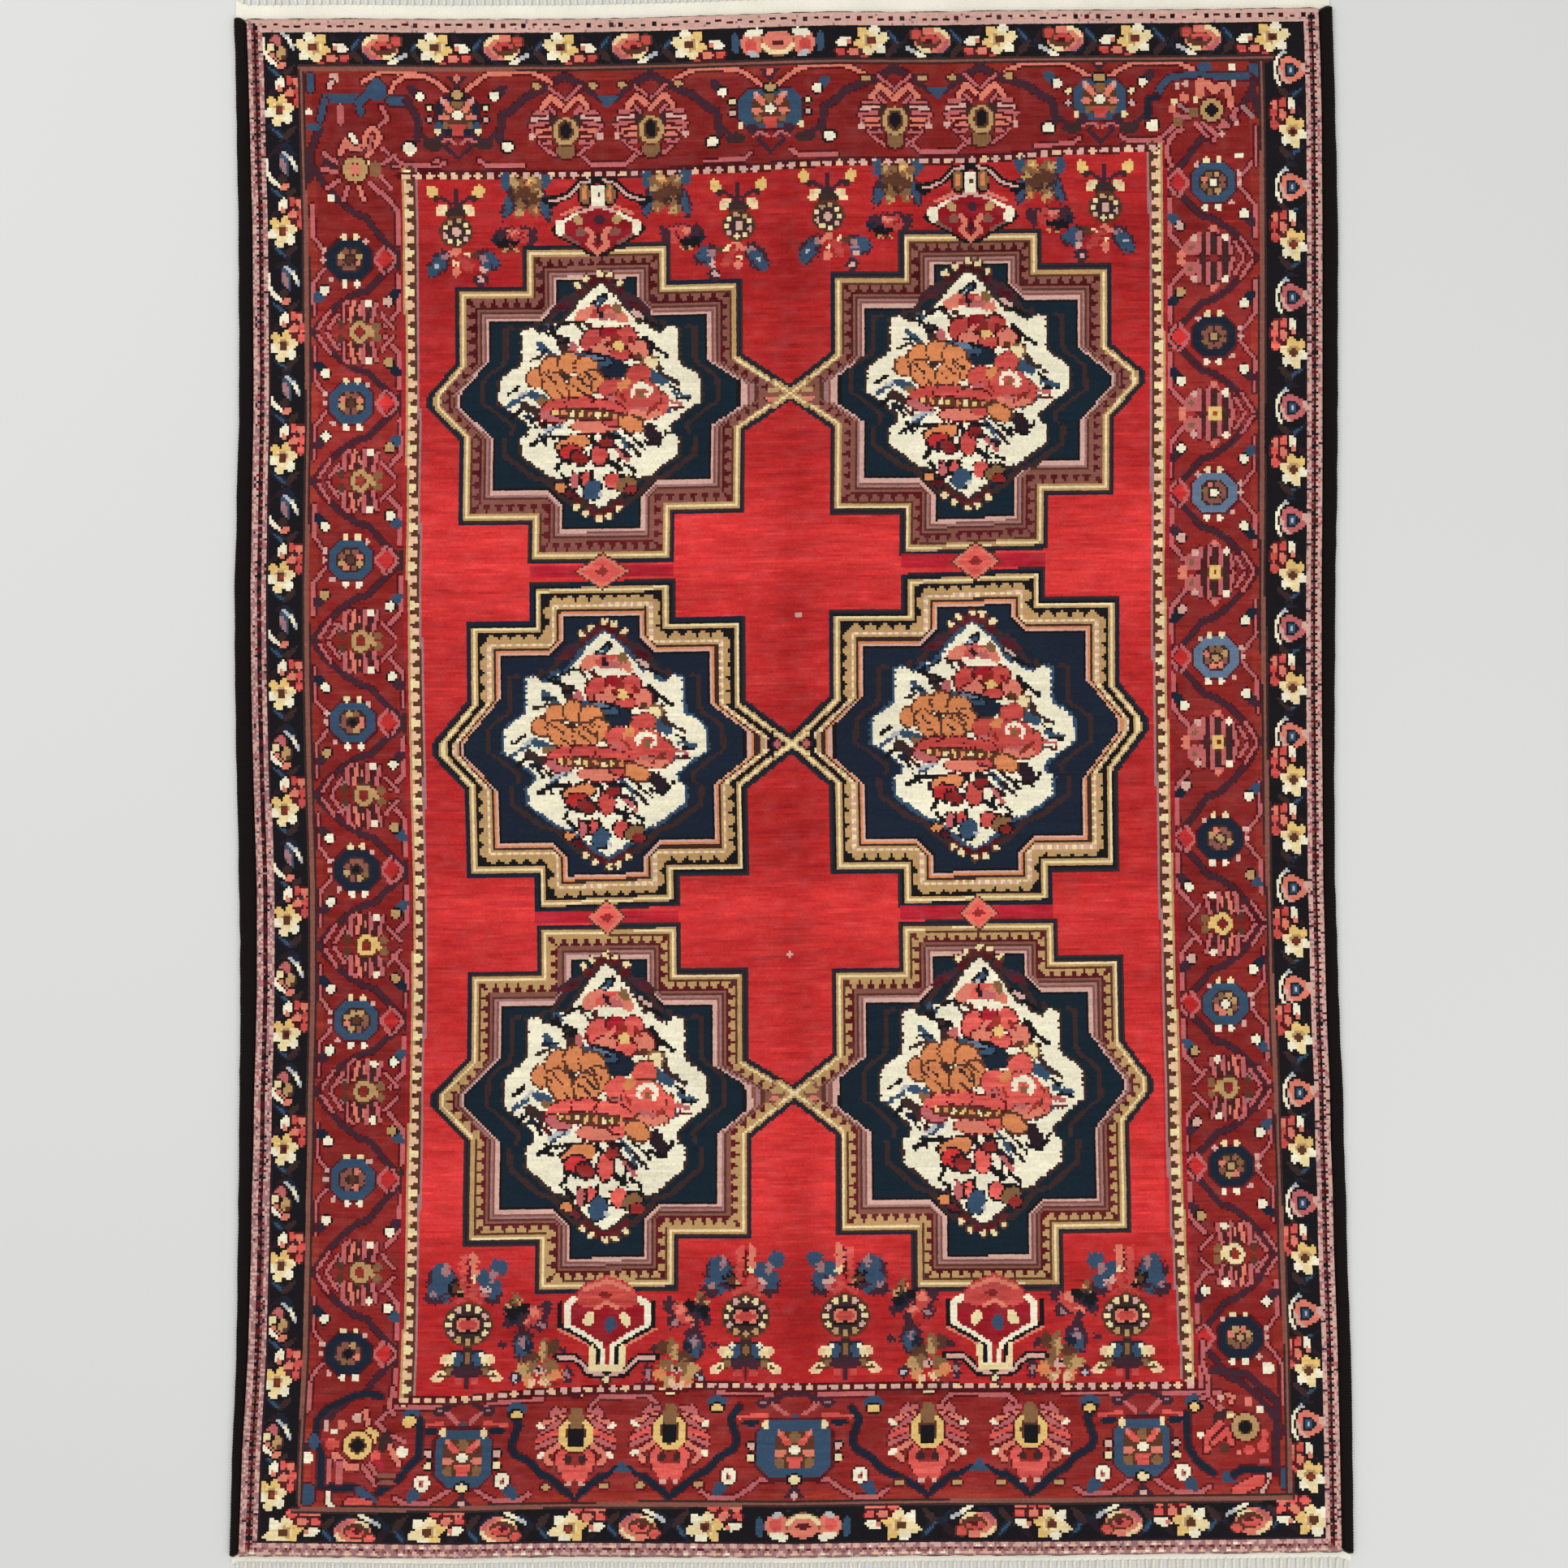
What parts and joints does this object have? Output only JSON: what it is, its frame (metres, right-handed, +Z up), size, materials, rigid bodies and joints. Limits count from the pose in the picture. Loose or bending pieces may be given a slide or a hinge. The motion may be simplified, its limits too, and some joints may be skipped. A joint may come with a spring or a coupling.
{
  "type": "persian rug",
  "caption": "Hand-knotted wool rug with medallion field, floral borders, overcast side edges and fringed cotton ends, lying flat.",
  "frame": {"origin": "middle of the rug's underside, on the floor that it lies on", "axes": "+X across the rug, +Y along it towards the top of the picture, +Z up out of the pile"},
  "size_m": [1.57, 2.3148, 0.011],
  "materials": {
    "wool_pile": "cut wool pile, matte with a soft sheen, red ground with navy, ivory, pink, gold and blue knots",
    "goat_hair": "overcast dark goat-hair yarn, matte with a faint sheen",
    "cotton": "undyed cotton, plain weave and twisted fringe, matte"
  },
  "bodies": {
    "root": {"rug_pile": "wool_pile", "selvedge_left": "goat_hair", "selvedge_right": "goat_hair", "cotton_end_top": "cotton", "cotton_end_bottom": "cotton"}
  },
  "joints": []
}
